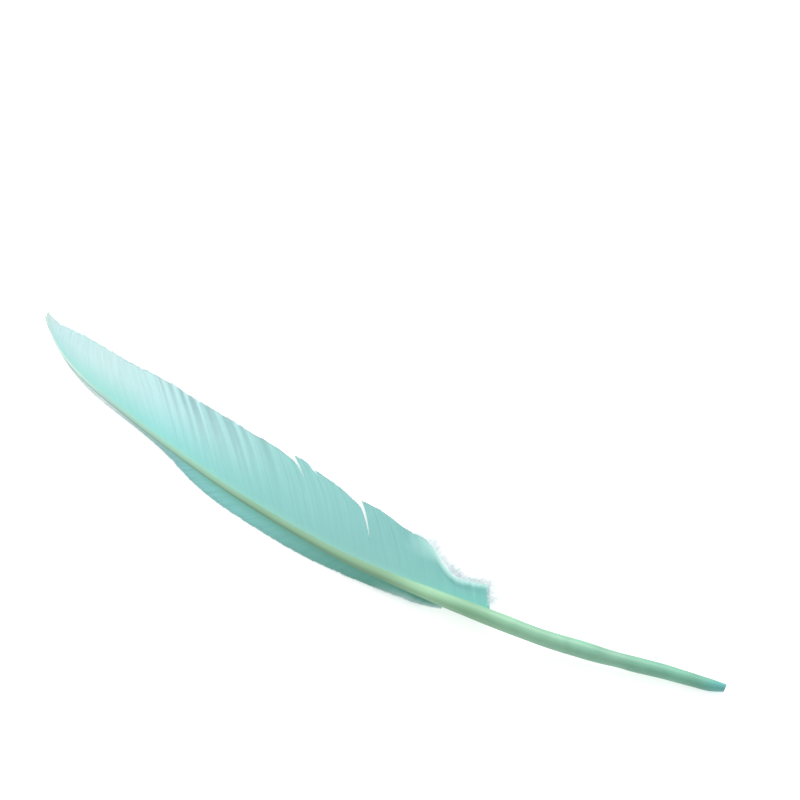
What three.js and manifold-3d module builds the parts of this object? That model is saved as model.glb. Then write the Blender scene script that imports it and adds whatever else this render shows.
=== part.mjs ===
// One turkey wing feather, dyed mint green, lying with its upper side up.
// Millimetres, +Z up. X runs from the feather's tip (-X) to the end of its quill (+X), the wide
// vane grows towards +Y and the narrow vane towards -Y. The shaft arches off the surface: the
// feather rests on its quill end, on its tip and on the margins of both vanes.
import * as THREE from 'three';
import { mergeVertices } from 'three/addons/utils/BufferGeometryUtils.js';
import Module from 'manifold-3d';

// Stations are measured along X, from the tip at -150 to the quill end at 150.
const TIP = -150;
const QUILL_END = 150;
// The middle of the ground that the feather covers, which becomes the origin.
const GROUND_MIDDLE = new THREE.Vector3(-0.2, -16.7, 0.06);

// The shaft: how far it bows sideways, the height of its middle and its thickness.
const SHAFT_BOW = [
  [-150, 0], [-146, -3.6], [-140, -7.7], [-130, -12.8], [-115, -17.5], [-95, -21.1], [-65, -25.4],
  [-30, -29], [5, -30], [40, -27.2], [75, -21.4], [105, -15], [130, -7.2], [150, 0],
];
const SHAFT_HEIGHT = [
  [-150, 0.6], [-120, 1.2], [-80, 2.4], [-40, 3.6], [0, 4.8], [30, 5.7], [60, 6.2], [90, 5.7],
  [120, 4.2], [140, 2.7], [150, 1.8],
];
const SHAFT_THICKNESS = [
  [-150, 0.4], [-120, 0.9], [-80, 1.5], [-48, 2.4], [0, 3.4], [45, 4.9], [72, 5.8], [104, 6.2],
  [125, 5.5], [140, 4.6], [146, 4], [150, 3],
];
// The groove under the rachis, as a share of the shaft's radius. The quill is round.
const SHAFT_GROOVE = [[-120, 0], [-70, 0.25], [40, 0.3], [74, 0]];
const SHAFT_SIDES = 16;
const SHAFT_RINGS = 54;
// The quill's end is cut a little aslant: its near side is this much shorter.
const QUILL_CUT_SLANT = 0.8;
const QUILL_CUT_ZONE = 5;
// The open pit in the quill's end, and the small pit under the shaft where the vanes begin.
const END_PIT = { radius: 0.65, depth: 6 };
const UPPER_PIT = { station: 76, radius: 0.8 };

// The vanes. Width is measured level and square to the shaft, rim is the height of the margin,
// sweep is how far a barb leans towards the tip for each millimetre outwards, and lean adds the
// last bend of a long barb along the margin.
const BARB_ROOT_LIFT = 0.3;
const WIDE_VANE = {
  side: 1,
  width: [
    [-150, 0.8], [-146.7, 3.2], [-144, 5], [-142, 7.1], [-137.6, 10.2], [-133, 12.7], [-125, 15.1],
    [-112, 18], [-99, 20.4], [-80, 22.4], [-60, 24.6], [-30, 26.4], [-18, 26.2], [-8, 25],
    [4, 24.4], [18, 24.8], [30, 23.2], [38, 19.6], [44, 14.8], [49, 11], [54, 9.8], [59, 11.2],
    [65, 13.4], [72, 13.6],
  ],
  rim: [[-150, 0.45], [0, 0.45], [25, 1.2], [45, 3.2], [58, 4.3], [72, 4.2]],
  cup: [[10, 0], [40, 1.2], [58, 2], [72, 1.2]],
  sweep: [[-148, 1.9], [-50, 1.7], [-17, 1.3], [5, 1.08], [30, 0.84], [55, 0.65], [71, 0.53]],
  lean: 9.7,
  crown: 1.6,
  firstRoot: -147,
  lastRoot: 71,
  locks: 44,
  steps: 7,
  // A split opens after each of these locks: how deep into the vane, and how far the lock on its
  // tip side and the one on its quill side draw back from it at the margin.
  splits: [
    { afterLock: 30, depth: 5, tipSide: 1, quillSide: 1.1 },
    { afterLock: 32, depth: 2, tipSide: 0.6, quillSide: 0.4 },
    { afterLock: 34, depth: 14, tipSide: 1.4, quillSide: 1.8 },
  ],
};
const NARROW_VANE = {
  side: -1,
  width: [
    [-150, 0.4], [-140, 0.7], [-125, 0.8], [-112, 1.2], [-104, 1.7], [-70, 1.9], [-62, 3.1],
    [-52, 4.7], [-44, 5.2], [-24, 5.3], [0, 4.6], [15, 3.9], [45, 3.9], [52, 3.1], [57, 2.2],
  ],
  rim: [[-150, 0.45], [-10, 0.45], [10, 0.9], [30, 2.2], [45, 3.2], [57, 4]],
  cup: [[-150, 0], [57, 0]],
  sweep: [[-148, 2.2], [-60, 1.8], [57, 1.3]],
  lean: 0,
  crown: 1,
  firstRoot: -146,
  lastRoot: 57,
  locks: 22,
  steps: 3,
  splits: [],
};
const FULL_WIDTH = 27;
const LEAN_POWER = 5;
// Each lock is a strip of barbs. Its tip side lies over the lock in front like a shingle.
const LOCK_THICKNESS_AT_SHAFT = 0.7;
const LOCK_THICKNESS_AT_MARGIN = 0.45;
const LOCK_OVERLAP = 0.25;
const LOCK_TILT = 0.16;
// How far a lock's root reaches past the shaft's middle, and how short a lock may be.
const ROOT_DEPTH = 0.25;
const SHORTEST_LOCK = 0.4;
// The worn margin: how much longer or shorter the locks are, one after another.
const MARGIN_WEAR = [0, -0.15, 0.1, -0.25, 0.05, -0.1, 0.15];
const WEAR_FROM_REACH = 5;

// Steps smaller than this, left where locks cross, are smoothed away.
const FINEST_STEP = 0.03;

// The slope of a table of [station, value] pairs at one of its own stations, held low enough for
// the line never to swing past a pair's value.
function slopeAt(table, index) {
  const before = table[Math.max(index - 1, 0)];
  const here = table[index];
  const after = table[Math.min(index + 1, table.length - 1)];
  if (before === here) {
    return (after[1] - here[1]) / (after[0] - here[0]);
  }
  if (after === here) {
    return (here[1] - before[1]) / (here[0] - before[0]);
  }
  const stepIn = here[0] - before[0];
  const stepOut = after[0] - here[0];
  const slopeIn = (here[1] - before[1]) / stepIn;
  const slopeOut = (after[1] - here[1]) / stepOut;
  if (slopeIn * slopeOut <= 0) {
    return 0;
  }
  const average = (slopeIn * stepOut + slopeOut * stepIn) / (stepIn + stepOut);
  const steepest = 2 * Math.min(Math.abs(slopeIn), Math.abs(slopeOut));
  return THREE.MathUtils.clamp(average, -steepest, steepest);
}

// A smooth line through a table of [station, value] pairs, read at any station.
function along(table, station) {
  const last = table.length - 1;
  const at = THREE.MathUtils.clamp(station, table[0][0], table[last][0]);
  let index = 0;
  while (index < last - 1 && at > table[index + 1][0]) {
    index += 1;
  }
  const [from, start] = table[index];
  const [to, end] = table[index + 1];
  const step = to - from;
  const t = (at - from) / step;
  const bendIn = slopeAt(table, index) * step * t * (1 - t) ** 2;
  const bendOut = slopeAt(table, index + 1) * step * t ** 2 * (t - 1);
  return start + (end - start) * (3 - 2 * t) * t ** 2 + bendIn + bendOut;
}

function shaftMiddle(station) {
  return new THREE.Vector3(station, along(SHAFT_BOW, station), along(SHAFT_HEIGHT, station));
}

// The level direction square to the shaft, pointing to the wide vane.
function acrossShaft(station) {
  const ahead = along(SHAFT_BOW, station + 0.5);
  const behind = along(SHAFT_BOW, station - 0.5);
  const clampedStep = Math.min(station + 0.5, QUILL_END) - Math.max(station - 0.5, TIP);
  return new THREE.Vector3(behind - ahead, clampedStep, 0).normalize();
}

// A point of a vane: width out from the shaft's middle, with a lift above the vane's mid surface.
function vanePoint(vane, station, out, lift) {
  const middle = shaftMiddle(station);
  const share = THREE.MathUtils.clamp(out / along(vane.width, station), 0, 1);
  const radius = along(SHAFT_THICKNESS, station) / 2;
  const rootHeight = middle.z + BARB_ROOT_LIFT * radius;
  const drop = (along(vane.rim, station) - rootHeight) * share ** vane.crown;
  const cup = along(vane.cup, station) * 4 * share * (1 - share);
  const point = middle.addScaledVector(acrossShaft(station), vane.side * out);
  point.z = rootHeight + drop - cup + lift;
  return point;
}

// The station that a barb from this root has reached at this distance out.
function barbStation(vane, root, out) {
  const straight = along(vane.sweep, root) * out;
  return root - straight - vane.lean * (out / FULL_WIDTH) ** LEAN_POWER;
}

// How far out the barb from this root meets the vane's margin, found by halving.
function barbReach(vane, root) {
  let near = 0;
  let far = FULL_WIDTH * 1.1;
  for (let halving = 0; halving < 24; halving += 1) {
    const middle = (near + far) / 2;
    if (middle < along(vane.width, barbStation(vane, root, middle))) {
      near = middle;
    } else {
      far = middle;
    }
  }
  return near;
}

// How far the side of a lock draws back from a split beside it, at this distance out.
function drawBack(vane, lockBefore, sideOfSplit, reach, out) {
  const split = vane.splits.find((item) => item.afterLock === lockBefore);
  if (!split) {
    return 0;
  }
  const share = THREE.MathUtils.clamp((out - reach + split.depth) / split.depth, 0, 1);
  return (split[sideOfSplit] + LOCK_OVERLAP) * share;
}

// One lock of barbs: a thin box bent along the barbs' path, from inside the shaft to the margin.
function lockGeometry(vane, lock) {
  const pitch = (vane.lastRoot - vane.firstRoot) / vane.locks;
  const tipRoot = vane.firstRoot + lock * pitch - LOCK_OVERLAP;
  const quillRoot = tipRoot + pitch + 2 * LOCK_OVERLAP;
  const wear = MARGIN_WEAR[lock % MARGIN_WEAR.length];
  const box = new THREE.BoxGeometry(1, 1, 1, 1, vane.steps, 1);
  const place = box.attributes.position;
  for (let i = 0; i < place.count; i += 1) {
    const towardsQuill = 0.5 + vane.side * place.getX(i);
    const outShare = 0.5 + place.getY(i);
    const root = THREE.MathUtils.lerp(tipRoot, quillRoot, towardsQuill);
    const reach = barbReach(vane, root);
    const wornReach = Math.max(reach + wear * Math.min(reach / WEAR_FROM_REACH, 1), SHORTEST_LOCK);
    const out = THREE.MathUtils.lerp(-ROOT_DEPTH, wornReach, outShare);
    const fromTip = drawBack(vane, lock - 1, 'quillSide', reach, out) * (1 - towardsQuill);
    const fromQuill = drawBack(vane, lock, 'tipSide', reach, out) * towardsQuill;
    const station = barbStation(vane, root, out) + fromTip - fromQuill;
    const thickness = THREE.MathUtils.lerp(LOCK_THICKNESS_AT_SHAFT, LOCK_THICKNESS_AT_MARGIN, outShare);
    const tilt = LOCK_TILT * (1 - 2 * towardsQuill) * (1 + outShare) / 2;
    const point = vanePoint(vane, station, out, place.getZ(i) * thickness + tilt);
    place.setXYZ(i, point.x, point.y, point.z);
  }
  return box;
}

// The shaft: a cylinder bent along the feather, round at the quill and grooved under the rachis.
function shaftGeometry() {
  const rod = new THREE.CylinderGeometry(1, 1, 1, SHAFT_SIDES, SHAFT_RINGS);
  const place = rod.attributes.position;
  for (let i = 0; i < place.count; i += 1) {
    const up = place.getX(i);
    const across = place.getZ(i);
    const along01 = place.getY(i) + 0.5;
    const station = THREE.MathUtils.lerp(TIP, QUILL_END, along01);
    const cut = THREE.MathUtils.clamp((station - QUILL_END + QUILL_CUT_ZONE) / QUILL_CUT_ZONE, 0, 1);
    const radius = along(SHAFT_THICKNESS, station) / 2;
    const isUnderside = up < -0.99;
    const groove = isUnderside ? along(SHAFT_GROOVE, station) : 0;
    const point = shaftMiddle(station);
    point.addScaledVector(acrossShaft(station), across * radius);
    point.x += cut * QUILL_CUT_SLANT * (across - 1) / 2;
    point.z += (up + groove) * radius;
    place.setXYZ(i, point.x, point.y, point.z);
  }
  return rod;
}

// The hollow that shows in the quill's cut end.
function endPitGeometry() {
  const pit = new THREE.CylinderGeometry(END_PIT.radius, END_PIT.radius / 3, END_PIT.depth, 8);
  const inner = shaftMiddle(QUILL_END - END_PIT.depth);
  const outer = shaftMiddle(QUILL_END);
  const outwards = outer.clone().sub(inner).normalize();
  pit.applyQuaternion(new THREE.Quaternion().setFromUnitVectors(new THREE.Vector3(0, 1, 0), outwards));
  const middle = outer.addScaledVector(outwards, 1 - END_PIT.depth / 2);
  pit.translate(middle.x, middle.y, middle.z);
  return pit;
}

// The small pit on the underside, where the groove of the rachis ends in the quill.
function upperPitGeometry() {
  const pit = new THREE.SphereGeometry(UPPER_PIT.radius, 8, 6);
  const middle = shaftMiddle(UPPER_PIT.station);
  pit.translate(middle.x, middle.y, middle.z - along(SHAFT_THICKNESS, UPPER_PIT.station) / 2);
  return pit;
}

const wasm = await Module();
wasm.setup();

function solidOf(geometry) {
  const bare = geometry.clone();
  bare.deleteAttribute('normal');
  bare.deleteAttribute('uv');
  const merged = mergeVertices(bare, 1e-5);
  const vertProperties = new Float32Array(merged.attributes.position.array);
  const triVerts = new Uint32Array(merged.index.array);
  return new wasm.Manifold(new wasm.Mesh({ numProp: 3, vertProperties, triVerts }));
}

function geometryOf(solid) {
  const mesh = solid.getMesh();
  const geometry = new THREE.BufferGeometry();
  geometry.setAttribute('position', new THREE.BufferAttribute(mesh.vertProperties, 3));
  geometry.setIndex(new THREE.BufferAttribute(mesh.triVerts, 1));
  geometry.computeVertexNormals();
  return geometry;
}

// The whole feather grew as one piece: the shaft with every lock of both vanes joined to it.
function featherSolid() {
  let feather = solidOf(shaftGeometry());
  for (const vane of [WIDE_VANE, NARROW_VANE]) {
    for (let lock = 0; lock < vane.locks; lock += 1) {
      feather = feather.add(solidOf(lockGeometry(vane, lock)));
    }
  }
  feather = feather.subtract(solidOf(endPitGeometry())).subtract(solidOf(upperPitGeometry()));
  return feather.simplify(FINEST_STEP);
}

const feather = new THREE.Mesh(
  geometryOf(featherSolid()),
  new THREE.MeshStandardMaterial({ color: 0x8fd6c8, roughness: 0.55, metalness: 0 }),
);
feather.name = 'feather';
feather.position.sub(GROUND_MIDDLE);

const part = new THREE.Group();
part.add(feather);

export default part;
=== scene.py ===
# %% [markdown]
# # A dyed turkey wing feather
#
# A wing feather is one long shaft with a vane on each side. The bare lower end of the shaft is the
# quill, and the part that carries the vanes is the rachis. Each vane is a row of several hundred
# barbs, laid so closely that they hold together like cloth. This feather lies with its upper side
# up, and all of it has been dyed a pale mint green.
#
# The plan: read the solid feather as a frame, put the camera at the photograph's angle, then grow
# the shaft, the two vanes and the loose down at their foot as new meshes in the same place.

# %% Load the solid feather
import math

import bmesh
import bpy
import numpy as np
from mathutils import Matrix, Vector


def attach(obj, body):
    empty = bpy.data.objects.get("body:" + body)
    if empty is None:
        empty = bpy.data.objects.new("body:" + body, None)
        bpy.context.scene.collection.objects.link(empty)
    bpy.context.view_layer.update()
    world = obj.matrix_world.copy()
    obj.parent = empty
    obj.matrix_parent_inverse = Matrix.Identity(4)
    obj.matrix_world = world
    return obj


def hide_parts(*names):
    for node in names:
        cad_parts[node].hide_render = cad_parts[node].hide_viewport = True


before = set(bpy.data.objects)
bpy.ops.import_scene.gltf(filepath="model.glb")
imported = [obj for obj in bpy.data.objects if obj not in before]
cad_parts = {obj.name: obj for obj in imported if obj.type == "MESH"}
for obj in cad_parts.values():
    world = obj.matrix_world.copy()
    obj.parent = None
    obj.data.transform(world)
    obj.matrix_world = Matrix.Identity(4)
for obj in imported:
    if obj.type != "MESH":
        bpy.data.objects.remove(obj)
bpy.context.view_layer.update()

# %% [markdown]
# The photograph looks down on the feather from its near, right side, from about 54 degrees above
# the table. The whole feather has to fit the frame at the place where the photograph shows it, so
# the camera aims at a point on the table beside the feather and not at the feather's middle.

# %% Camera
MM = 0.001
CAMERA_AZIMUTH = 33.14
CAMERA_ELEVATION = 54.0
CAMERA_DISTANCE = 616.2 * MM
CAMERA_AIM = Vector((-8.75 * MM, 58.5 * MM, 0.0))
FIELD_OF_VIEW = 28.0
NEAREST_SEEN = 10 * MM
FARTHEST_SEEN = 20.0


def direction(azimuth, elevation):
    """The unit vector that points back from the aim to an eye at these angles, in degrees."""
    turn = math.radians(azimuth)
    rise = math.radians(elevation)
    level = math.cos(rise)
    return Vector((math.sin(turn) * level, -math.cos(turn) * level, math.sin(rise)))


def add_camera():
    data = bpy.data.cameras.new("camera")
    camera = bpy.data.objects.new("camera", data)
    bpy.context.collection.objects.link(camera)
    back = direction(CAMERA_AZIMUTH, CAMERA_ELEVATION)
    camera.location = CAMERA_AIM + back * CAMERA_DISTANCE
    camera.rotation_euler = back.to_track_quat("Z", "Y").to_euler()
    data.lens = data.sensor_width / 2 / math.tan(math.radians(FIELD_OF_VIEW / 2))
    data.clip_start = NEAREST_SEEN
    data.clip_end = FARTHEST_SEEN
    bpy.context.scene.camera = camera
    return camera


print("lens, mm:", round(add_camera().data.lens, 1))

# %% [markdown]
# Everything that grows on a feather follows its shaft, so the shape is written down as short tables
# along the shaft. A curve object drawn by hand would do for one piece. A table keeps every size as
# a plain number, and the shaft, the vanes and the down can all read the same one. The line through
# a table has to be smooth, but it must not swing past a value and make a bump of its own.

# %% A smooth line through a table
def slopes(stations, values):
    """Slopes of the smooth line at a table's own stations, too gentle to swing past a value."""
    steps = np.diff(stations)
    rises = np.diff(values) / steps
    inner = (rises[:-1] * steps[1:] + rises[1:] * steps[:-1]) / (steps[:-1] + steps[1:])
    steepest = 2 * np.minimum(abs(rises[:-1]), abs(rises[1:]))
    inner = np.where(rises[:-1] * rises[1:] <= 0, 0, np.clip(inner, -steepest, steepest))
    return np.concatenate([rises[:1], inner, rises[-1:]])


def along(table, station):
    """The smooth line through a table of [station, value] pairs, read at any stations."""
    stations, values = np.array(table, float).T
    at = np.clip(station, stations[0], stations[-1])
    i = np.clip(np.searchsorted(stations, at) - 1, 0, len(stations) - 2)
    step = stations[i + 1] - stations[i]
    t = (at - stations[i]) / step
    slope = slopes(stations, values)
    bend_in = slope[i] * step * t * (1 - t) ** 2
    bend_out = slope[i + 1] * step * t**2 * (t - 1)
    return values[i] + (values[i + 1] - values[i]) * (3 - 2 * t) * t**2 + bend_in + bend_out


print("a line from 0 to 4, read a quarter of the way:", along([[0, 0], [1, 4]], 0.25))

# %% [markdown]
# The shaft comes first: how far it bows to the side, how high its middle lies above the table, how
# thick it is and how flat. The measures are millimetres, and stations run from the tip at -150 to
# the quill's end at 150. The line is that of the solid feather. The thickness and the flatness of
# the rachis were read once more from the photograph, so towards the tip it is up to about a
# millimetre wider than the solid's.

# %% The shaft's measures
TIP = -150.0
QUILL_END = 150.0
# The tables are read a little past the tip, for barbs that swing beyond it.
FIRST_STATION = TIP - 2
# The point of these measures that lies at the middle of the shared frame, on its ground.
GROUND_MIDDLE = np.array([-0.2, -16.7, 0.06])
BOW_STEP = 0.5
LINE_SAMPLES = 600

SHAFT_BOW = [
    [-152, 1.8], [-150, 0], [-146, -3.6], [-140, -7.7], [-130, -12.8], [-115, -17.5], [-95, -21.1],
    [-65, -25.4], [-30, -29], [5, -30], [40, -27.2], [75, -21.4], [105, -15], [130, -7.2], [150, 0],
]
SHAFT_HEIGHT = [
    [-150, 0.6], [-120, 1.2], [-80, 2.4], [-40, 3.6], [0, 4.8], [30, 5.7], [60, 6.2], [90, 5.7],
    [120, 4.2], [140, 2.7], [150, 1.8],
]
SHAFT_THICKNESS = [
    [-150, 0.4], [-140, 0.7], [-130, 1.1], [-120, 1.6], [-100, 2.3], [-80, 2.5], [-48, 2.9],
    [0, 3.5], [45, 4.5], [72, 5.6], [104, 6.2], [125, 5.5], [140, 4.6], [146, 4], [150, 3],
]
# How much lower than wide the section is, as a share of its width.
SHAFT_FLATNESS = [[-150, 0.5], [-115, 0.55], [-60, 0.42], [0, 0.3], [60, 0]]


def shaft_middle(station):
    return np.stack([station, along(SHAFT_BOW, station), along(SHAFT_HEIGHT, station)], axis=-1)


def across_shaft(station):
    """The level direction square to the shaft, pointing to the wide vane."""
    ahead = np.minimum(station + BOW_STEP, QUILL_END)
    behind = np.maximum(station - BOW_STEP, FIRST_STATION)
    bow = along(SHAFT_BOW, ahead) - along(SHAFT_BOW, behind)
    level = np.stack([-bow, ahead - behind, np.zeros_like(bow)], axis=-1)
    return level / np.linalg.norm(level, axis=-1, keepdims=True)


def shaft_radius(station):
    return along(SHAFT_THICKNESS, station) / 2


def shaft_rise(station):
    """Half the height of the shaft's section."""
    return shaft_radius(station) * (1 - along(SHAFT_FLATNESS, station))


shaft_line = shaft_middle(np.linspace(TIP, QUILL_END, LINE_SAMPLES))
shaft_length = np.linalg.norm(np.diff(shaft_line, axis=0), axis=1).sum()
print("shaft length along its bow, mm:", round(float(shaft_length), 1))

# %% [markdown]
# A new mesh can be made with modelling steps, in a bmesh, or straight from arrays. Either way it has
# to become an object, stand in metres in the shared frame and ride with the solid feather. These
# helpers do that for each piece and print how many triangles it has.

# %% Helpers for new pieces
def feather_place(points):
    """From the measures' millimetres to metres in the shared frame."""
    return (points - GROUND_MIDDLE) * MM


def ride_along(mesh, name, smooth=True):
    """Turn a finished mesh into an object that rides with the feather."""
    piece = bpy.data.objects.new(name, mesh)
    bpy.context.collection.objects.link(piece)
    if smooth:
        mesh.shade_smooth()
    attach(piece, "root")
    print(name, "triangles:", sum(len(p.vertices) - 2 for p in mesh.polygons))
    return piece


def piece_from(bm, name, smooth=True):
    mesh = bpy.data.meshes.new(name)
    bm.to_mesh(mesh)
    bm.free()
    return ride_along(mesh, name, smooth)


print("the tip in the shared frame, metres:", feather_place(shaft_line[0]).round(4))

# %% [markdown]
# ## The shaft
#
# The quill is a round tube of keratin, as clear and smooth as a fingernail. A dried one is never
# quite even: it swells, shrinks and wanders a little. Where the vanes begin it becomes the rachis,
# which is flatter and a little squarer and has a groove along its underside. A curve with a bevel
# would keep one section all the way. So each point of a circle is moved by a rule that changes
# along the shaft.

# %% The shaft's section
# How far the corners of the rachis stand out from a round section, as a share of its radius.
SHAFT_SQUARENESS = [[-150, 0], [-60, 0.05], [40, 0.07], [85, 0]]
SHAFT_GROOVE = [[-120, 0], [-70, 0.25], [40, 0.3], [74, 0]]
GROOVE_NARROWNESS = 7
# The dried quill's thickness against the plain shaft's, and how far it wanders sideways.
QUILL_SWELLING = [
    [45, 1], [60, 1], [74, 1.02], [86, 0.95], [95, 0.96], [103, 0.97], [110, 0.91], [115, 0.88],
    [120, 0.94], [129, 0.97], [138, 0.99], [145, 1.03], [150, 1],
]
QUILL_WANDER = [
    [10, 0], [45, -0.25], [60, -0.3], [74, -0.5], [86, -0.65], [95, -0.35], [103, 0.05],
    [110, 0.1], [115, 0.25], [120, 0.3], [129, 0.5], [138, 0.15], [145, -0.2], [150, -0.1],
]
# The quill's end is cut a little aslant: its near side is this much shorter.
QUILL_CUT_SLANT = 0.8
QUILL_CUT_ZONE = 5.0


def shaft_section(station, across, up):
    """Place a point of the unit circle on the shaft's skin at a station."""
    # the square is 1 at the four corners between the sides, the top and the underside
    corner = along(SHAFT_SQUARENESS, station) * (2 * across * up) ** 2
    groove = along(SHAFT_GROOVE, station) * max(-up, 0) ** GROOVE_NARROWNESS
    radius = shaft_radius(station) * (1 + corner) * along(QUILL_SWELLING, station)
    sideways = across * radius + along(QUILL_WANDER, station)
    point = shaft_middle(station) + across_shaft(station) * sideways
    cut = np.clip((station - QUILL_END + QUILL_CUT_ZONE) / QUILL_CUT_ZONE, 0, 1)
    point[0] += cut * QUILL_CUT_SLANT * (across - 1) / 2
    point[2] += (up + groove) * radius * (1 - along(SHAFT_FLATNESS, station))
    return point


print("a point on top of the shaft, mm:", shaft_section(np.float64(0), 0, 1).round(2))

# %% [markdown]
# A quill is hollow, so its cut end has a thin wall round a hole. The shaft starts as a plain
# cylinder, which is cut into many short rings and laid on the shaft's line. Then the end face is
# drawn inwards over a rounded rim and sunk into a pit. Cutting a hole with a boolean would give the
# same tube, but the steps of the rim also catch the light as a worn edge does.

# %% Build the quill and rachis
SHAFT_SIDES = 28
SHAFT_RINGS = 300
# The rounded rim of the open end, in small steps inwards and onwards, and then its flat wall.
END_RIM = [(0.04, 0.12), (0.08, 0.09), (0.1, 0.04), (0.4, 0.0)]
END_PIT_DEPTH = 4.0


def make_shaft():
    bm = bmesh.new()
    bmesh.ops.create_cone(
        bm, cap_ends=True, cap_tris=False, segments=SHAFT_SIDES, radius1=1, radius2=1, depth=1
    )
    # the cylinder is 1 long, and only its long edges span more than half of that
    long_edges = [e for e in bm.edges if abs(e.verts[0].co.z - e.verts[1].co.z) > 0.5]
    bmesh.ops.subdivide_edges(bm, edges=long_edges, cuts=SHAFT_RINGS - 1)
    for vert in bm.verts:
        share = vert.co.z + 0.5
        station = np.float64(TIP + share * (QUILL_END - TIP))
        vert.co = feather_place(shaft_section(station, vert.co.x, vert.co.y))
    bm.faces.ensure_lookup_table()
    bm.normal_update()
    end_face = max(bm.faces, key=lambda f: f.calc_center_median().x)
    outwards = end_face.normal.copy()
    for inwards, onwards in END_RIM:
        bmesh.ops.inset_region(bm, faces=[end_face], thickness=inwards * MM, use_even_offset=True)
        bmesh.ops.translate(bm, verts=end_face.verts, vec=outwards * onwards * MM)
    pit = bmesh.ops.extrude_discrete_faces(bm, faces=[end_face])["faces"]
    bmesh.ops.translate(bm, verts=pit[0].verts, vec=outwards * -END_PIT_DEPTH * MM)
    bmesh.ops.recalc_face_normals(bm, faces=bm.faces)
    return piece_from(bm, "quill_and_rachis")


shaft = make_shaft()
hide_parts("feather")

# %% [markdown]
# ## The vanes
#
# A vane is nothing but barbs. Every barb leaves the rachis at a slant, swings towards the tip of the
# feather and ends at the margin. The wide vane catches the air behind the shaft, and the narrow one
# cuts through it ahead. Both have the same kinds of measures, so one set of functions can build
# them. Margins and slants were read once more from the photograph, so they differ from the solid's
# by up to three millimetres in places.

# %% The vanes' measures
WIDE_VANE = {
    "side": 1,
    # from the shaft's middle to the margin, square to the shaft
    "width": [
        [-153, 0.1], [-150, 1.1], [-146.7, 3.4], [-144, 5.2], [-142, 7.1], [-137.6, 10.2],
        [-133, 12.7], [-125, 15.2], [-112, 18], [-101, 20.2], [-92, 21.9], [-80, 22.8], [-64, 24.6],
        [-52, 25.4], [-40, 26.5], [-32, 27.3], [-27, 28.2], [-24, 28.3], [-20, 27.1], [-15, 27],
        [-7, 26.7], [4, 25.9], [11, 25.9], [17, 25.3], [23, 23.7], [30, 22.3], [36, 21.4],
        [41, 18.7], [45.5, 15.2], [50, 12.3], [54, 10.8], [59, 11.2], [65, 12.6], [72, 12.8],
    ],
    # how high the margin lies, and how far the vane sags between the shaft and the margin
    "rim": [[-150, 0.45], [0, 0.45], [25, 1.2], [45, 3.2], [58, 4.3], [72, 4.2]],
    "cup": [[10, 0], [40, 1.2], [58, 2], [72, 1.2]],
    # how far a barb moves towards the tip for each millimetre outwards, along the roots, and how
    # much more it leans at the margin
    "sweep": [
        [-150, 1.9], [-57, 1.56], [-46, 1.46], [-31, 1.42], [-12, 1.12], [5, 0.95], [27, 0.76],
        [52, 0.62], [60, 0.56], [69.6, 0.36],
    ],
    "lean": 5.5,
    # how high on the shaft the barbs stand, as a share of its rise
    "root_lift": [[-150, 0.92], [10, 0.92], [40, 0.98], [60, 0.985], [69.6, 0.96]],
    # how far from the shaft's middle the vane starts to slope down, as a share of the radius, and
    # the power of this slope
    "shelf": 0.0,
    "crown": 1.6,
    # height of the rolled margin, along the roots
    "roll": [[38, 0], [50, 0.25], [58, 0.38], [64, 0.42], [70, 0.3]],
    "first_root": -149.8,
    "last_root": 69.6,
}
NARROW_VANE = {
    "side": -1,
    "width": [
        [-150, 1], [-146, 0.6], [-138, 0.2], [-125, 0.9], [-116, 1.5], [-100, 2], [-85, 1.8],
        [-75, 2], [-65, 2.9], [-54, 4.7], [-47, 5.4], [-36, 5.8], [-14, 5.7], [0, 5.4], [12, 4.7],
        [25, 4.4], [33, 4.3], [38, 4.2], [43, 4.1], [47, 3.8], [50, 3.3], [54, 2.5], [58, 1.6],
    ],
    "rim": [
        [-150, 0.45], [-125, 0.9], [-105, 1.2], [-85, 1.4], [-70, 1], [-50, 0.5], [-10, 0.45],
        [10, 0.9], [30, 2.2], [45, 3.2], [57, 4],
    ],
    "cup": [[-150, 0], [57, 0]],
    "sweep": [[-148, 2.2], [-60, 1.8], [57, 1.3]],
    "lean": 0.0,
    "root_lift": [[-150, 0.25], [57, 0.25]],
    "shelf": 0.9,
    "crown": 1.0,
    "roll": [[-150, 0], [57, 0]],
    "first_root": -148.0,
    "last_root": 56.5,
}
for name, vane in (("wide", WIDE_VANE), ("narrow", NARROW_VANE)):
    print(name, "vane, widest at, mm:", max(vane["width"], key=lambda pair: pair[1]))

# %% [markdown]
# A barb's path starts inside the shaft, so that its cut end doesn't show, climbs to the shaft's skin
# and follows the surface of the vane. The surface slopes down from the shaft to the margin. Where a
# barb meets the margin has no simple formula, because the margin's distance changes along the
# feather while the barb swings. So the length of each barb is found by halving a span again and
# again, for all barbs at once.

# %% Paths of the barbs
BARB_SPACING = 0.36
SLIMMEST_VANE = 0.2
FULL_WIDTH = 27.0
# The search for a margin goes a little past the full width, and it halves its span this often.
SEARCH_SHARE = 1.1
HALVINGS = 24
LEAN_POWER = 5
# Where along its barbs the rolled margin starts to rise, and over what share it rises and falls.
ROLL_START = 0.66
ROLL_SPAN = 0.44


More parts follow.
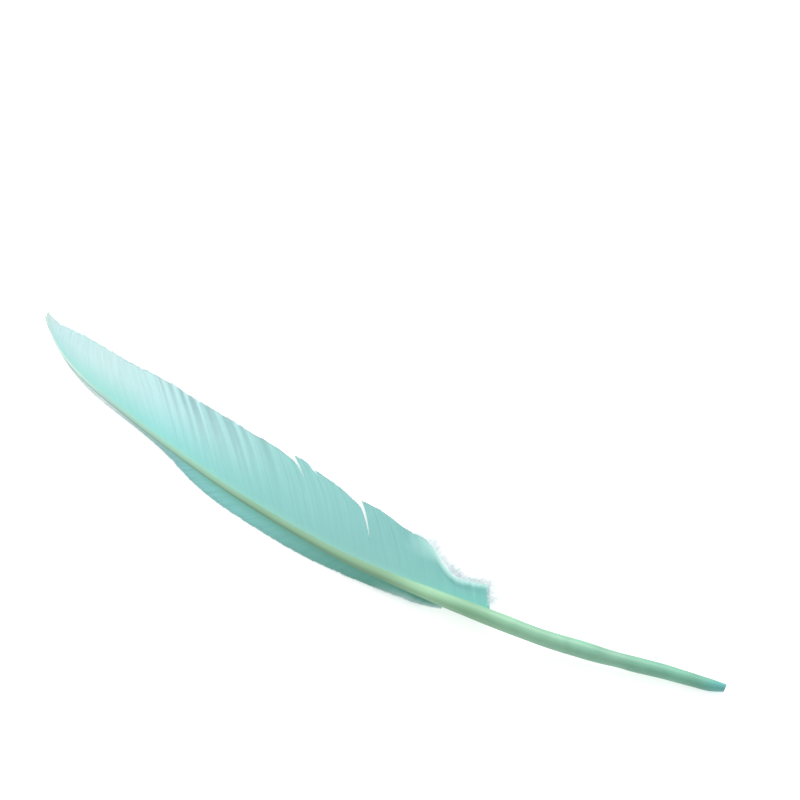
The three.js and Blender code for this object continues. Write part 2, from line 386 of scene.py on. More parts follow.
def vane_point(vane, station, out, lift=0.0):
    """A point of a vane's mid surface: out is the level distance from the shaft's middle."""
    shelf = vane["shelf"] * shaft_radius(station)
    width = np.maximum(along(vane["width"], station) - shelf, SLIMMEST_VANE)
    share = np.clip((out - shelf) / width, 0, 1)
    root_lift = along(vane["root_lift"], station) * shaft_rise(station)
    root_height = along(SHAFT_HEIGHT, station) + root_lift
    drop = (along(vane["rim"], station) - root_height) * share ** vane["crown"]
    # an arch that is 0 at both ends and 1 halfway
    cup = along(vane["cup"], station) * 4 * share * (1 - share)
    point = shaft_middle(station) + across_shaft(station) * (vane["side"] * out)[..., None]
    point[..., 2] = root_height + drop - cup + lift
    return point


def barb_station(vane, root, out):
    """The station that a barb from this root has reached at this distance out."""
    lean = vane["lean"] * (np.maximum(out, 0) / FULL_WIDTH) ** LEAN_POWER
    return root - along(vane["sweep"], root) * out - lean


def rolled_margin(vane, root, share):
    """How high the roll lifts each point of each barb."""
    rolled = np.sin(math.pi * np.clip((share - ROLL_START) / ROLL_SPAN, 0, 1))
    return along(vane["roll"], root) * rolled


def barb_reach(vane, root):
    """How far out each barb meets the vane's margin, found by halving."""
    near = np.zeros_like(root)
    far = np.full_like(root, FULL_WIDTH * SEARCH_SHARE)
    for _ in range(HALVINGS):
        middle = (near + far) / 2
        inside = middle < along(vane["width"], barb_station(vane, root, middle))
        near = np.where(inside, middle, near)
        far = np.where(inside, far, middle)
    return near


def barb_roots(vane):
    count = int((vane["last_root"] - vane["first_root"]) / BARB_SPACING)
    return np.linspace(vane["first_root"], vane["last_root"], count)


for name, vane in (("wide", WIDE_VANE), ("narrow", NARROW_VANE)):
    roots = barb_roots(vane)
    reaches = barb_reach(vane, roots)
    print(name, "vane:", len(roots), "barbs, longest reach, mm:", round(float(reaches.max()), 1))

# %% [markdown]
# Nothing on a feather is quite even. The hooks between the barbs let go here and there, and a
# split opens in the margin, where the barbs on one side have also worn short. Knife cuts through a
# finished vane would cross the barbs. On a feather a split runs between two of them, so it is made
# by drawing the barbs on its two sides apart. The three splits are where the photograph shows them.
# A few small separations are drawn from a seeded generator, so that the feather comes out the same
# each time.

# %% Splits
WIDE_SPLITS = [
    # root of the barb where it opens, how deep it runs, how far each side draws back, how much
    # shorter the barbs on its tip side are, and how far along all this fades, in millimetres
    {"root": 3.2, "depth": 3.6, "tip_side": 1.5, "quill_side": 0.2, "worn": 3.6, "fade": 3.2},
    {"root": 10.4, "depth": 2.5, "tip_side": 0.4, "quill_side": 0.5, "worn": 0.9, "fade": 2.0},
    {"root": 26.9, "depth": 14.0, "tip_side": 1.0, "quill_side": 1.2, "worn": 3.6, "fade": 4.6},
]
SMALL_SPLIT_DEPTH = (2, 7)
SMALL_SPLIT_OPENING = (0.02, 0.08)
SMALL_SPLIT_WEAR = (0.1, 0.4)
SMALL_SPLIT_FADE = 1.4


def small_splits(first, last, count, seed):
    """Short, barely open separations, spread unevenly between two roots."""
    rng = np.random.default_rng(seed)
    return [
        {
            "root": root,
            "depth": rng.uniform(*SMALL_SPLIT_DEPTH),
            "tip_side": rng.uniform(*SMALL_SPLIT_OPENING),
            "quill_side": rng.uniform(*SMALL_SPLIT_OPENING),
            "worn": rng.uniform(*SMALL_SPLIT_WEAR),
            "fade": SMALL_SPLIT_FADE,
        }
        for root in np.sort(rng.uniform(first, last, count))
    ]


def split_shift(splits, root, out, reach):
    """How far along the feather the splits push each point of each barb."""
    shift = np.zeros_like(out)
    for split in splits:
        beside = root - split["root"]
        fade = np.exp(-np.abs(beside) / split["fade"])
        opened = np.clip((out - reach + split["depth"]) / split["depth"], 0, 1)
        pull = np.where(beside < 0, -split["tip_side"], split["quill_side"])
        shift = shift + pull * fade * opened
    return shift


def split_wear(splits, root):
    """How much shorter the barbs are on the tip side of each split."""
    short = np.zeros_like(root)
    for split in splits:
        beside = split["root"] - root
        short = short + split["worn"] * np.exp(-np.abs(beside) / split["fade"]) * (beside > 0)
    return short


wide_splits = WIDE_SPLITS + small_splits(first=-75, last=-14, count=5, seed=5)
print("splits in the wide vane:", len(wide_splits), "deepest, mm:", max(s["depth"] for s in wide_splits))

# %% [markdown]
# Between the splits the barbs gather in soft folds, and each fold rises slowly and drops quickly,
# like a wave on sand. A picture of stripes would give no shade of its own when the light moves, so
# the folds lift the barbs. Each barb also gets a tone with painted light and shade: a painted
# highlight along a crest and painted shade in the slope before it. The eight folds are where the
# photograph shows them. A soft wave makes the rest of the vane uneven.

# %% Folds and waves
WIDE_FOLDS = [
    # root where the fold starts to rise, root of its crest, height of the crest at the margin
    [-63, -60.6, 0.25], [-58.5, -54.6, 0.35], [-52, -49.2, 0.5], [-47.4, -42.8, 0.75],
    [-40.4, -32, 0.5], [-29.8, -23.4, 0.5], [-21.5, -18.8, 0.35], [-15, -9.5, 0.35],
]
FOLD_DROP = 1.5
FOLD_RISE_POWER = 1.5
# The painted highlight lies halfway down the drop, and this is how far it spreads. The slope before a
# crest gets painted shade.
CREST_LINE = 0.5
CREST_SPREAD = 0.2
CREST_PAINTED_HIGHLIGHT = 0.9
SLOPE_PAINTED_SHADE = 1.8
# The length of each wave in millimetres and its share of the whole.
WAVES = [(3.1, 0.25), (4.7, 0.3), (7.9, 0.3), (13.0, 0.15)]
# How far each wave's phase wanders, over how many of its lengths, and where this may start.
PHASE_WANDER = 0.6
WANDER_LENGTHS = 5.3
LATEST_WANDER_START = 6


def fold_rise(folds, root):
    """Height of the folds at the margin, and the painted shade and highlight of each barb on them."""
    height = np.zeros_like(root)
    painted_fold_shade = np.zeros_like(root)
    for start, crest, top in folds:
        rise = np.clip((root - start) / (crest - start), 0, 1)
        drop = np.clip((root - crest) / FOLD_DROP, 0, 1)
        # the drop starts and ends softly, so the barbs on it don't crease
        height = height + top * rise**FOLD_RISE_POWER * (1 - drop**2 * (3 - 2 * drop))
        # a painted highlight along each crest and painted shade in the slope before it
        from_line = (root - crest) / FOLD_DROP - CREST_LINE
        pale = CREST_PAINTED_HIGHLIGHT * np.exp(-(from_line**2) / CREST_SPREAD)
        dark = SLOPE_PAINTED_SHADE * np.sin(math.pi * rise) * (drop == 0)
        painted_fold_shade = painted_fold_shade + top * (pale - dark)
    return height, painted_fold_shade


def wave(root, seed):
    """A soft uneven wave along the roots, between about -1 and 1."""
    rng = np.random.default_rng(seed)
    total = np.zeros_like(root)
    for length, share in WAVES:
        phase = rng.uniform(0, 2 * math.pi)
        wander_start = rng.uniform(0, LATEST_WANDER_START)
        turns = 2 * math.pi * root / length
        wander = PHASE_WANDER * np.sin(2 * math.pi * root / (length * WANDER_LENGTHS) + wander_start)
        total = total + share * np.sin(turns + phase + wander)
    return total


print("folds:", len(WIDE_FOLDS), "highest, mm:", max(top for _, _, top in WIDE_FOLDS))

# %% [markdown]
# A barb is a thin blade and a strand of down is a fine hair, but both are closed tubes with a few
# sides. Making hundreds of them one by one with modelling steps would be slow. So the corners of
# all tubes are worked out as one array, and the numbers of the corners of every face follow from
# their places in it. The first and the last ring of each tube also become faces, which close it.

# %% Joined meshes from arrays
def joined_tubes(name, rings):
    """One mesh of many closed tubes. The array's shape is tubes, steps, sides, 3, in millimetres."""
    tubes, steps, sides, _ = rings.shape
    first = np.arange(tubes)[:, None, None] * steps * sides
    step = np.arange(steps - 1)[None, :, None] * sides
    side = np.arange(sides)[None, None, :]
    near = first + step + side
    near_after = first + step + (side + 1) % sides
    walls = np.stack([near, near_after, near_after + sides, near + sides], axis=-1)
    start_caps = (first[:, 0] + side[0, :, ::-1]).reshape(-1, sides)
    end_caps = (first[:, 0] + (steps - 1) * sides + side[0]).reshape(-1, sides)
    faces = walls.reshape(-1, 4).tolist() + start_caps.tolist() + end_caps.tolist()
    mesh = bpy.data.meshes.new(name)
    mesh.from_pydata(feather_place(rings.reshape(-1, 3)).tolist(), [], faces)
    print(name, "tubes:", tubes, "with", sides, "sides")
    return mesh


def lay_uv(mesh, u, v):
    """Give each corner of a mesh the u and v of its vertex, in a map called barbs."""
    corner = np.zeros(len(mesh.loops), np.int32)
    mesh.loops.foreach_get("vertex_index", corner)
    pairs = np.stack([np.ravel(u)[corner], np.ravel(v)[corner]], axis=-1)
    mesh.uv_layers.new(name="barbs").data.foreach_set("uv", pairs.ravel())


def lay_tone_and_painted_shade(mesh, tone_with_painted_shade):
    """Give each vertex its tone, random unevenness with painted shade and highlight: below 0 is darker
    than its neighbours, above 0 is paler.
    """
    mesh.attributes.new("tone_with_painted_shade", "FLOAT", "POINT").data.foreach_set("value", np.ravel(tone_with_painted_shade))


# %% [markdown]
# A plane with a picture of lines on it would look flat from close by, so each barb is a real thin
# blade with four corners. It has a ridge on top and is a little wider than the space to its
# neighbour, so that the blades overlap like tiles and let no light through. The last bit of each
# blade tapers, which makes the margin fine and slightly ragged.

# %% The section of a blade
# Corners of a blade: how far towards the quill and how far up, as shares of the barbs' spacing.
BLADE_CORNERS = [(-0.62, -0.05), (-0.1, 0.24), (0.75, -0.02), (-0.1, -0.2)]
NARROWEST_BLADE = 0.05
WIDEST_BLADE = 0.6
TAPER_START = 0.95
TAPER_SPAN = 0.05
TAPER = 0.45


def unit(vectors):
    return vectors / np.linalg.norm(vectors, axis=-1, keepdims=True)


def blade_rings(line, beside, vane):
    """Four-sided sections round each barb: line is its path and beside leads to the next barb."""
    forward = unit(np.gradient(line, axis=1))
    up = unit(np.cross(beside, forward) * vane["side"])
    to_quill = np.cross(forward, up) * vane["side"]
    gap = (beside * to_quill).sum(axis=-1, keepdims=True)
    spacing = np.clip(gap, NARROWEST_BLADE, WIDEST_BLADE)
    share = np.linspace(0, 1, line.shape[1])
    taper = 1 - TAPER * np.clip((share - TAPER_START) / TAPER_SPAN, 0, 1)[:, None]
    across = to_quill * spacing * taper
    rise = up * spacing * taper
    corners = [line + aside * across + high * rise for aside, high in BLADE_CORNERS]
    if vane["side"] < 0:
        corners.reverse()
    return np.stack(corners, axis=2)


print("a blade's width against its spacing:", round(BLADE_CORNERS[2][0] - BLADE_CORNERS[0][0], 2))

# %% [markdown]
# Now the vanes are put together: the barbs' lengths with their wear, their paths with splits, folds
# and ripples, and a blade round each path. Two things are kept for the colour. The map says where
# along the feather and how far out each point lies, and the tone says how much a barb differs from
# its neighbours, with the folds' painted shade and highlight added in.

# %% Build the vanes
# Where the barbs start inside the shaft, as a share of its radius, how far they climb to its skin,
# as a share of its rise, and the length of this climb, as a share of theirs.
ROOT_DEPTH = 0.15
ROOT_CLIMB = 0.12
FIRST_STEP = 0.012
SHORTEST_BARB = 0.35
# Barbs shorter than this wear less than the others.
FULL_WEAR_REACH = 5
WEAR_SCATTER = 0.5
# How high a vane ripples, and how far out its ripples and folds start to show.
RIPPLE = 0.08
RIPPLE_POWER = 1.4
FOLD_POWER = 2.2
# The path of a barb that starts this much further on shows where the next blade lies.
NUDGE = 0.1
TONE_SCATTER = 0.1
TONE_WAVE = 0.2
TONE_WAVES_CLOSER = 2.5
# How strongly an uneven tone shows at the root, and how much more at the margin.
TONE_AT_ROOT = 0.3
TONE_GAINED = 0.7


def make_vane(vane, name, steps, seed, splits=(), folds=(), wear=0.2):
    """One mesh of thin blades, one for each barb of a vane."""
    rng = np.random.default_rng(seed)
    root = barb_roots(vane)[:, None]
    full_reach = barb_reach(vane, root)
    scatter = rng.normal(0, WEAR_SCATTER, root.shape)
    worn = wear * (wave(root, seed + 1) + scatter) + split_wear(splits, root)
    reach = full_reach - worn * np.minimum(full_reach / FULL_WEAR_REACH, 1)
    reach = np.maximum(reach, SHORTEST_BARB)
    share = np.concatenate([[0], np.linspace(FIRST_STEP, 1, steps)])[None, :]
    start = ROOT_DEPTH * shaft_radius(root)
    out = start + (reach - start) * share
    fold_height, painted_fold_shade = fold_rise(folds, root)
    ripple = RIPPLE * wave(root, seed + 2)
    lift = ripple * share**RIPPLE_POWER + fold_height * share**FOLD_POWER
    lift = lift + rolled_margin(vane, root, out / full_reach)
    lift = lift - ROOT_CLIMB * shaft_rise(root) * (share == 0)

    def path(near_root):
        station = barb_station(vane, near_root, out) + split_shift(splits, near_root, out, reach)
        return vane_point(vane, np.clip(station, FIRST_STATION, QUILL_END), out, lift)

    line = path(root)
    beside = (path(root + NUDGE) - line) * (BARB_SPACING / NUDGE)
    rings = blade_rings(line, beside, vane)
    corners = rings.shape[2]
    mesh = joined_tubes(name, rings)
    whole = np.ones_like(out)
    along_feather = (root - TIP) / (QUILL_END - TIP) * whole
    lay_uv(mesh, np.repeat(along_feather, corners), np.repeat(share * whole, corners))
    unevenness = rng.normal(0, TONE_SCATTER, root.shape)
    unevenness = unevenness + TONE_WAVE * wave(root * TONE_WAVES_CLOSER, seed + 3)
    # the tone is random unevenness plus the folds' painted shade and highlight, which grow towards the
    # margin
    tone_with_painted_shade = unevenness * (TONE_AT_ROOT + TONE_GAINED * share) + painted_fold_shade * share**2
    lay_tone_and_painted_shade(mesh, np.repeat(tone_with_painted_shade, corners))
    piece = ride_along(mesh, name)
    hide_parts("feather")
    return piece


wide_vane = make_vane(
    WIDE_VANE, "wide_vane", steps=20, seed=11, splits=wide_splits, folds=WIDE_FOLDS
)
narrow_vane = make_vane(NARROW_VANE, "narrow_vane", steps=8, seed=23, wear=0.12)

# %% [markdown]
# ## The down
#
# At the foot of the vanes the barbs have no hooks. They end in loose, silky strands, each with a
# fringe of still finer hairs, and they look almost white because they hardly take the dye. Particle
# hair would not leave the scene as a mesh, so every strand is a thin three-sided tube here, bent
# along its own curve, and its fringe is made of shorter tubes that start on it.

# %% Strands and their fringe
STRAND_STEPS = 10
# How much thinner a strand is at its end, and a direction that no strand runs along.
STRAND_TAPER = 0.7
ASKEW = np.array([0.3, 0.2, 1.0])
FRINGE_STEPS = 3
FRINGE_SPACING = 0.32
FEWEST_HAIRS = 2
FRINGE_START = 0.08
FRINGE_SPREAD = 0.75
FRINGE_BEND = 0.25
FRINGE_LENGTHS = (0.4, 1.1)


def curves(start, heading, bend, length, steps):
    """Paths that leave their start along the heading and drift more and more along the bend."""
    t = np.linspace(0, 1, steps)[None, :, None]
    length = length[:, None, None]
    return start[:, None] + unit(heading)[:, None] * length * t + bend[:, None] * length * t**2


def thin_rings(line, radius):
    """Three-sided sections that taper towards the end of each path."""
    forward = unit(np.gradient(line, axis=1))
    first = unit(np.cross(forward, ASKEW))
    second = np.cross(forward, first)
    taper = radius * (1 - STRAND_TAPER * np.linspace(0, 1, line.shape[1]))[None, :, None]
    turns = [0, 2 * math.pi / 3, 4 * math.pi / 3]
    return np.stack([line + taper * (first * math.cos(a) + second * math.sin(a)) for a in turns], axis=2)


def fringe(line, length, rng):
    """Short hairs to both sides along each strand."""
    starts = []
    headings = []
    for path, long in zip(line, length):
        count = max(int(long / FRINGE_SPACING), FEWEST_HAIRS)
        at = rng.uniform(FRINGE_START, 1, count) * (len(path) - 1)
        low = np.minimum(at.astype(int), len(path) - 2)
        part = (at - low)[:, None]
        starts.append(path[low] * (1 - part) + path[low + 1] * part)
        ahead = unit(path[low + 1] - path[low])
        headings.append(ahead + rng.normal(0, FRINGE_SPREAD, (count, 3)))
    starts = np.concatenate(starts)
    headings = np.concatenate(headings)
    hair_length = rng.uniform(*FRINGE_LENGTHS, len(starts))
    bend = rng.normal(0, FRINGE_BEND, starts.shape)
    return curves(starts, headings, bend, hair_length, FRINGE_STEPS)


print("hairs on a strand of 5 mm:", int(5 / FRINGE_SPACING))

# %% [markdown]
# The strands don't grow evenly. They stand thickest beside the last barb and past the rolled margin
# above it, and they thin out towards the tip. Hair that is combed by hand would show this too, but
# a few patches, each with its place, its number of strands and its main direction, are easier to
# change. Strands that would dip into the table are laid on it.

# %% Grow the down
STRAND_RADIUS = 0.035
FRINGE_RADIUS = 0.014
ROOT_SCATTER = 0.08
STRAND_START_HEIGHT = 0.05
STRAND_BEND = 0.2
# How much a strand points down or up as it starts.
STRAND_CLIMB = (-0.2, 0.15)
LOWEST_STRAND = 0.12
WIDE_DOWN = [
    # beside the last barb, then past the last barbs' ends, then beyond the rolled margin
    {
        "roots": (68.8, 69.6), "shares": (0.25, 1.0), "count": 170, "lengths": (1.5, 5.5),
        "outward": 0.5, "to_quill": 0.8, "spread": 0.28,
    },
    {
        "roots": (60, 69.6), "shares": (0.97, 1.0), "count": 260, "lengths": (1.5, 4.2),
        "outward": 1.0, "to_quill": 0.35, "spread": 0.16,
    },
    {
        "roots": (51.5, 60), "shares": (0.97, 1.0), "count": 420, "lengths": (2.0, 4.8),
        "outward": 1.0, "to_quill": 0.3, "spread": 0.13,
    },
    {
        "roots": (46, 51.5), "shares": (0.98, 1.0), "count": 120, "lengths": (0.4, 2.2),
        "outward": 1.0, "to_quill": 0.3, "spread": 0.16,
    },
]
NARROW_DOWN = [
    {
        "roots": (34, 51), "shares": (0.9, 1.0), "count": 130, "lengths": (0.4, 1.6),
        "outward": 1.0, "to_quill": 0.6, "spread": 0.25,
    },
]


def patch_of_strands(vane, patch, rng):
    """Paths of the strands of one patch, and their lengths."""
    count = patch["count"]
    root = np.linspace(*patch["roots"], count) + rng.normal(0, ROOT_SCATTER, count)
    share = rng.uniform(*patch["shares"], count)
    length = rng.uniform(*patch["lengths"], count)
    out = barb_reach(vane, root) * share
    station = barb_station(vane, root, out)
    height = rolled_margin(vane, root, share) + STRAND_START_HEIGHT
    start = vane_point(vane, station, out, height)
    outward = across_shaft(station) * vane["side"]
    to_quill = np.cross(outward, np.array([0, 0, 1.0])) * vane["side"]
    heading = outward * patch["outward"] + to_quill * patch["to_quill"]
    heading = unit(heading) + rng.normal(0, patch["spread"], heading.shape)
    heading[:, 2] = rng.uniform(*STRAND_CLIMB, count)
    bend = rng.normal(0, STRAND_BEND, start.shape)
    return curves(start, heading, bend, length, STRAND_STEPS), length


def make_down(name, vane, seed, patches):
    """Loose strands that start on a vane, with their fringes, in one mesh."""
    rng = np.random.default_rng(seed)
    strands = []
    hairs = []
    for patch in patches:
        line, length = patch_of_strands(vane, patch, rng)
        strands.append(line)
        hairs.append(fringe(line, length, rng))
    bm = bmesh.new()
    for patch_lines, radius in ((strands, STRAND_RADIUS), (hairs, FRINGE_RADIUS)):
        lines = np.concatenate(patch_lines)
        lines[..., 2] = np.maximum(lines[..., 2], LOWEST_STRAND)
        part = joined_tubes(name, thin_rings(lines, radius))
        bm.from_mesh(part)
        bpy.data.meshes.remove(part)
    piece = piece_from(bm, name, smooth=False)
    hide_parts("feather")
    return piece


wide_down = make_down("down_at_wide_vane", WIDE_VANE, 31, WIDE_DOWN)
narrow_down = make_down("down_at_narrow_vane", NARROW_VANE, 37, NARROW_DOWN)

# %% [markdown]
# ## The finishes
#
# Dye soaks into keratin, so the feather's own colours are not painted on. The barbs' colours also
# carry painted light and shade, where the vanes are thin, folded or stand off the table. The colours
# change slowly along the feather and are broken up by fine streaks. A picture could carry them, but
# it would blur from close by and it would have to fit one view. Colours are read here from the place
# on the object and from the barbs' own map. A node material needs many small steps, so this helper
# keeps each one short.

# %% Material helpers
def screen_colour(red, green, blue):
    """A colour as seen on a screen, 0 to 255, as the linear values that shaders use."""
    def linear(value):
        value /= 255
        return value / 12.92 if value <= 0.04045 else ((value + 0.055) / 1.055) ** 2.4
    return (linear(red), linear(green), linear(blue), 1.0)


def grey(value):
    return (value, value, value, 1.0)


class Finish:
    """A material with short ways to add and join its nodes."""

    def __init__(self, name, **surface):
        self.material = bpy.data.materials.new(name)
        self.material.use_nodes = True
        self.tree = self.material.node_tree
        self.shader = self.tree.nodes["Principled BSDF"]
        for socket, value in surface.items():
            self.shader.inputs[socket.replace("_", " ")].default_value = value

    def node(self, kind, inputs=(), **settings):
        """Add a node, set its settings, and fill inputs with values or other nodes' outputs."""
        node = self.tree.nodes.new(kind)
        for setting, value in settings.items():
            setattr(node, setting, value)
        for socket, value in dict(inputs).items():
            if isinstance(value, bpy.types.NodeSocket):
                self.tree.links.new(value, node.inputs[socket])
            else:
                node.inputs[socket].default_value = value
        return node

    def ramp(self, factor, stops):
        """Blend colours along a factor: stops are (position, colour) pairs."""
        node = self.node("ShaderNodeValToRGB", {"Fac": factor})
        points = node.color_ramp.elements
        # a new point may start anywhere, because each one is moved to its place next
        while len(points) < len(stops):
            points.new(0.5)
        for point, (position, colour) in zip(points, stops):
            point.position = position
            point.color = colour
        return node.outputs["Color"]

    def screen_ramp(self, factor, stops):
        """A ramp of screen colours."""
        return self.ramp(factor, [(at, screen_colour(*colour)) for at, colour in stops])

    def greys(self, factor, stops):
        """A ramp of greys that darken what they are multiplied with."""
        return self.ramp(factor, [(at, grey(value)) for at, value in stops])

    def spread(self, value, low, high, to_low, to_high):
        """Carry a value from one range to another, held at its ends."""
        span = {
            "Value": value, "From Min": low, "From Max": high, "To Min": to_low, "To Max": to_high,
        }
        return self.node("ShaderNodeMapRange", span).outputs["Result"]

    def place(self):
        return self.node("ShaderNodeTexCoord").outputs["Object"]

    def stations(self):
        """0 at the feather's tip and 1 at the quill's end, read from the place on the object."""
        x = self.node("ShaderNodeSeparateXYZ", {0: self.place()}).outputs["X"]
        return self.spread(x, TIP * MM, QUILL_END * MM, 0, 1)

    def noise(self, vector, scale, detail=2.0):
        """Cloudy noise between 0 and 1, stretched by a scale for each direction."""
        stretched = self.node("ShaderNodeMapping", {"Vector": vector, "Scale": scale})
        inputs = {"Vector": stretched.outputs[0], "Scale": 1.0, "Detail": detail}
        return self.node("ShaderNodeTexNoise", inputs).outputs["Fac"]

    def mix(self, kind, factor, first, second):
        inputs = {0: factor, 6: first, 7: second}
        return self.node("ShaderNodeMix", inputs, data_type="RGBA", blend_type=kind).outputs[2]

    def join(self, output, socket):
        self.tree.links.new(output, self.shader.inputs[socket])

    def done(self):
        print("finish", self.material.name, "nodes:", len(self.tree.nodes))
        return self.material


print("mid grey on a screen, as a shader's value:", round(screen_colour(128, 128, 128)[0], 3))

# %% [markdown]
# Keratin takes dye the way horn does. The rachis turns olive, and towards the tip it pales. The bare
# quill comes out a greyish mint green with a soft shine and darker patches, and its very end, which
# stood in the dye, is a bluer green. One colour with noise would miss this order, so a ramp of
# colours runs along the whole shaft, and the patches fade in where the quill begins. Very fine
# lines run lengthwise, in the colour and as a bump, because keratin grows in fibres.

# %% Finish of the quill and rachis
QUILL_DYES = [
    (0.0, (215, 238, 230)), (0.06, (210, 236, 230)), (0.1, (196, 228, 220)),
    (0.15, (170, 207, 198)), (0.2, (162, 204, 187)), (0.28, (155, 203, 178)),
    (0.42, (138, 182, 151)), (0.6, (138, 180, 145)), (0.66, (162, 212, 172)),
    (0.71, (138, 190, 152)), (0.76, (152, 206, 171)), (0.833, (146, 202, 172)),
    (0.86, (135, 193, 163)), (0.88, (152, 207, 180)), (0.9, (132, 192, 163)),
    (0.94, (131, 196, 169)), (0.972, (117, 182, 157)), (0.994, (104, 184, 177)),
]
PATCH_SCALE = (110, 130, 130)
PATCH_GREYS = [(0.38, 0.84), (0.56, 1)]
FIBRE_SCALE = (60, 2600, 2600)
FIBRE_DETAIL = 3.0
FIBRE_GREYS = [(0.3, 0.88), (0.7, 1)]
FIBRE_SHARE = 0.5
FIBRE_BUMP = 0.12
FIBRE_HEIGHT = 0.2 * MM


def quill_finish():
    finish = Finish("dyed_quill", IOR=1.5, Specular_IOR_Level=0.45)
    station = finish.stations()
    # the rachis is duller than the bare quill
    dullness = finish.spread(station, low=0.6, high=0.74, to_low=0.75, to_high=0.4)
    finish.join(dullness, "Roughness")
    base_colour = finish.screen_ramp(station, QUILL_DYES)
    cloud = finish.noise(finish.place(), PATCH_SCALE)
    patches = finish.greys(cloud, PATCH_GREYS)
    only_quill = finish.spread(station, low=0.66, high=0.82, to_low=0.15, to_high=0.75)
    patchy = finish.mix("MULTIPLY", only_quill, base_colour, patches)
    fibres = finish.noise(finish.place(), FIBRE_SCALE, FIBRE_DETAIL)
    lines = finish.greys(fibres, FIBRE_GREYS)
    finish.join(finish.mix("MULTIPLY", FIBRE_SHARE, patchy, lines), "Base Color")
    relief = {"Height": fibres, "Strength": FIBRE_BUMP, "Distance": FIBRE_HEIGHT}
    finish.join(finish.node("ShaderNodeBump", relief).outputs["Normal"], "Normal")
    return finish.done()


shaft.data.materials.append(quill_finish())

# %% [markdown]
# The barbs are matt, with a faint sheen like silk. Beside the rachis they are a clear mint colour.
# Towards the margin and the tip they fade to a very pale aqua, which is painted light: the thin vane
# lets light through from the white table. Towards the foot, where the vane stands off the table,
# they deepen, which is painted shade. One ramp would colour the whole width alike, so two ramps along
# the feather are blended by how far out a point lies. Streaks run along each barb, and the tone from
# the folds, with its painted shade and highlight, makes single barbs darker or paler. The rolled rim
# at the foot is paler than the rest: partly a painted highlight, because it turns its thin edge to
# the light, and partly its downy barbs, which take less dye.

# %% Finish of the barbs
ROOT_STAIN = (166, 228, 200)
# The rolled rim's colour: its downy barbs take less dye, and a painted highlight is added where its thin
# edge turns to the light.
PALE_RIM_AND_PAINTED_HIGHLIGHT = (194, 236, 230)
STREAK_SCALE = (150, 1.5, 1)
STREAKS = [(0.3, (0.88, 0.93, 0.93, 1)), (0.7, grey(1.02))]


def barb_finish(name, beside_rachis, at_margin):
    """Dyed barbs, with painted light and shade in their colours. The colours beside the rachis and at
    the margin are (station share, colour) pairs.
    """
    finish = Finish(
        name, Roughness=0.62, Sheen_Weight=0.12, Sheen_Roughness=0.5, Specular_IOR_Level=0.3
    )
    station = finish.stations()
    near = finish.screen_ramp(station, beside_rachis)
    far = finish.screen_ramp(station, at_margin)
    chart = finish.node("ShaderNodeUVMap", uv_map="barbs").outputs["UV"]
    out = finish.node("ShaderNodeSeparateXYZ", {0: chart}).outputs["Y"]
    base_colour = finish.mix("MIX", finish.spread(out, low=0.12, high=0.62, to_low=0, to_high=1), near, far)
    stained = finish.spread(out, low=0.02, high=0.12, to_low=0.3, to_high=0)
    base_colour = finish.mix("MIX", stained, base_colour, screen_colour(*ROOT_STAIN))
    streak = finish.noise(chart, STREAK_SCALE)
    streaks = finish.ramp(streak, STREAKS)
    streakiness = finish.spread(out, low=0.1, high=0.7, to_low=0.2, to_high=0.6)
    streaked = finish.mix("MULTIPLY", streakiness, base_colour, streaks)
    # The tone darkens or lightens single barbs: random unevenness, and the folds' painted shade and
    # highlight.
    tone_with_painted_shade = finish.node("ShaderNodeAttribute", attribute_name="tone_with_painted_shade").outputs["Fac"]
    brightness = finish.spread(tone_with_painted_shade, low=-1, high=1, to_low=0.76, to_high=1.14)
    toned = finish.mix("MULTIPLY", 1.0, streaked, brightness)
    # The rolled rim at the foot is painted paler: a painted highlight on its thin edge, together with
    # the paler colour of its downy barbs.
    rolled_foot = finish.spread(station, low=0.59, high=0.635, to_low=0, to_high=1)
    rim_start = finish.spread(station, low=0.62, high=0.69, to_low=0.54, to_high=0.8)
    rolled_rim = finish.spread(out, low=rim_start, high=0.95, to_low=0, to_high=1)
    both = finish.node("ShaderNodeMath", {0: rolled_foot, 1: rolled_rim}, operation="MULTIPLY")
    pale = screen_colour(*PALE_RIM_AND_PAINTED_HIGHLIGHT)
    finish.join(finish.mix("MIX", both.outputs[0], toned, pale), "Base Color")
    return finish.done()


# Both vanes pale towards the tip and the margin, which is painted light that the thin vane lets through
# from the white table, and deepen towards the foot, which is painted shade where the vane stands off the
# table.
wide_barbs = barb_finish(
    "dyed_wide_barbs_painted_light",
    beside_rachis=[
        (0.0, (190, 230, 230)), (0.12, (170, 229, 222)), (0.25, (156, 226, 222)),
        (0.41, (145, 209, 204)), (0.58, (139, 198, 193)), (0.72, (119, 199, 186)),
    ],
    at_margin=[
        (0.0, (214, 230, 222)), (0.03, (202, 234, 236)), (0.12, (205, 236, 235)),
        (0.25, (189, 231, 233)), (0.41, (154, 212, 208)), (0.58, (136, 197, 193)),
        (0.72, (126, 197, 189)),
    ],
)
# Towards its foot, from 0.6 to 0.66, the narrow vane turns a dark teal: the quill's painted shadow on
# it.
narrow_barbs = barb_finish(
    "dyed_narrow_barbs_painted_light",
    beside_rachis=[
        (0.0, (214, 238, 230)), (0.1, (200, 240, 226)), (0.16, (222, 248, 246)),
        (0.25, (154, 220, 206)), (0.36, (134, 211, 194)), (0.42, (132, 209, 190)),
        (0.6, (104, 180, 154)),
    ],
    at_margin=[
        (0.0, (226, 244, 238)), (0.1, (214, 244, 236)), (0.16, (238, 252, 252)),
        (0.3, (160, 230, 228)), (0.42, (156, 231, 225)), (0.62, (110, 186, 166)),
        (0.66, (100, 174, 154)), (0.69, (140, 194, 190)),
    ],
)
wide_vane.data.materials.append(wide_barbs)
narrow_vane.data.materials.append(narrow_barbs)

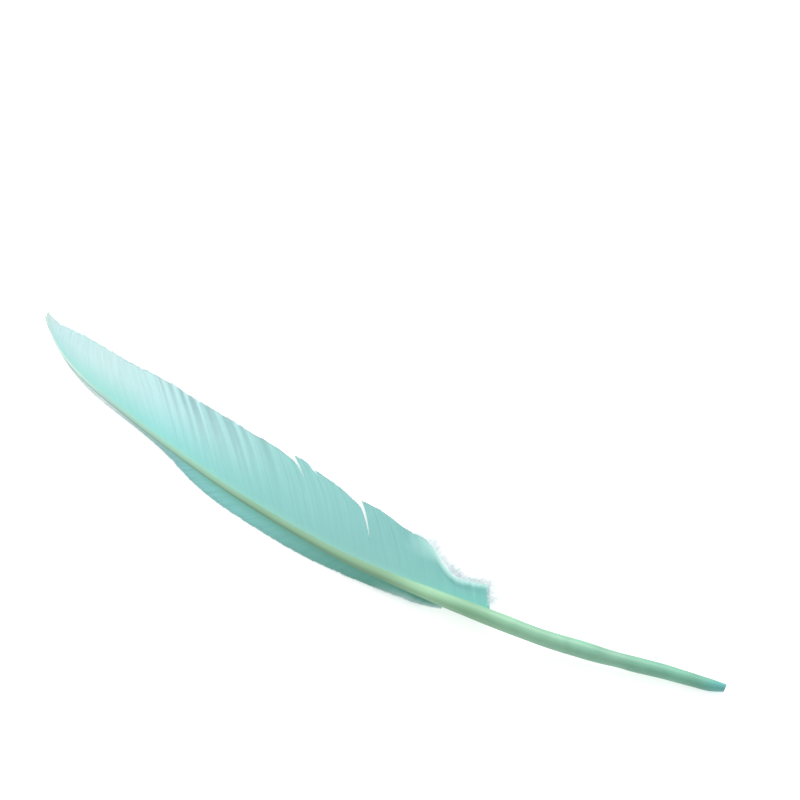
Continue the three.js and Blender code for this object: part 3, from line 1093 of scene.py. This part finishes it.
# %% [markdown]
# The down hardly takes the dye, and its strands scatter the light, so it looks nearly white. A
# see-through material would be slow to render and hard to tell from noise. The strands are so thin
# that a plain matt white does the same, with a soft cloud of cooler grey in it.

# %% Finish of the down
CLOUD_SCALE = (300, 300, 300)
COOL_WHITE = (228, 242, 245)
CLEAR_WHITE = (244, 250, 252)


def down_finish():
    finish = Finish("pale_down", Roughness=0.8, Sheen_Weight=0.3)
    cloud = finish.noise(finish.place(), CLOUD_SCALE)
    finish.join(finish.screen_ramp(cloud, [(0.35, COOL_WHITE), (0.65, CLEAR_WHITE)]), "Base Color")
    return finish.done()


pale_down = down_finish()
wide_down.data.materials.append(pale_down)
narrow_down.data.materials.append(pale_down)

# %% [markdown]
# ## Table and light
#
# The feather lies on a plain white table in soft daylight. White surroundings alone would leave the
# quill flat, so one broad lamp stands behind it, high up and a little to the camera's right. The
# table glows faintly like a light table, so that it stays white under the vanes. This glow is kept
# off the feather, or the quill would lose the shade on its lower half.

# %% Table, lamp and surroundings
# How far the table reaches to each side, in metres.
TABLE_REACH = 12.0
TABLE_GREY = 0.8
TABLE_GLOW = 0.57
SURROUNDINGS = 0.68


def add_table():
    bm = bmesh.new()
    bmesh.ops.create_grid(bm, x_segments=1, y_segments=1, size=TABLE_REACH)
    mesh = bpy.data.meshes.new("table")
    bm.to_mesh(mesh)
    bm.free()
    table = bpy.data.objects.new("table", mesh)
    bpy.context.collection.objects.link(table)
    white = Finish(
        "white_table", Base_Color=grey(TABLE_GREY), Roughness=0.9,
        Emission_Color=grey(1), Emission_Strength=TABLE_GLOW,
    )
    mesh.materials.append(white.done())
    table.visible_diffuse = False


def add_lamp(name, azimuth, elevation, distance, size, watts):
    data = bpy.data.lights.new(name, "AREA")
    data.shape = "DISK"
    data.size = size
    data.energy = watts
    lamp = bpy.data.objects.new(name, data)
    bpy.context.collection.objects.link(lamp)
    back = direction(azimuth, elevation)
    lamp.location = back * distance
    lamp.rotation_euler = back.to_track_quat("Z", "Y").to_euler()
    print(name, "lamp at, metres:", [round(n, 2) for n in lamp.location])


def add_surroundings(strength):
    world = bpy.data.worlds.new("surroundings")
    bpy.context.scene.world = world
    world.use_nodes = True
    sky = world.node_tree.nodes["Background"]
    sky.inputs["Color"].default_value = grey(1)
    sky.inputs["Strength"].default_value = strength


add_table()
add_lamp("window", azimuth=195, elevation=48, distance=1.4, size=1.0, watts=14.5)
add_surroundings(SURROUNDINGS)
bpy.context.scene.view_settings.view_transform = "Standard"
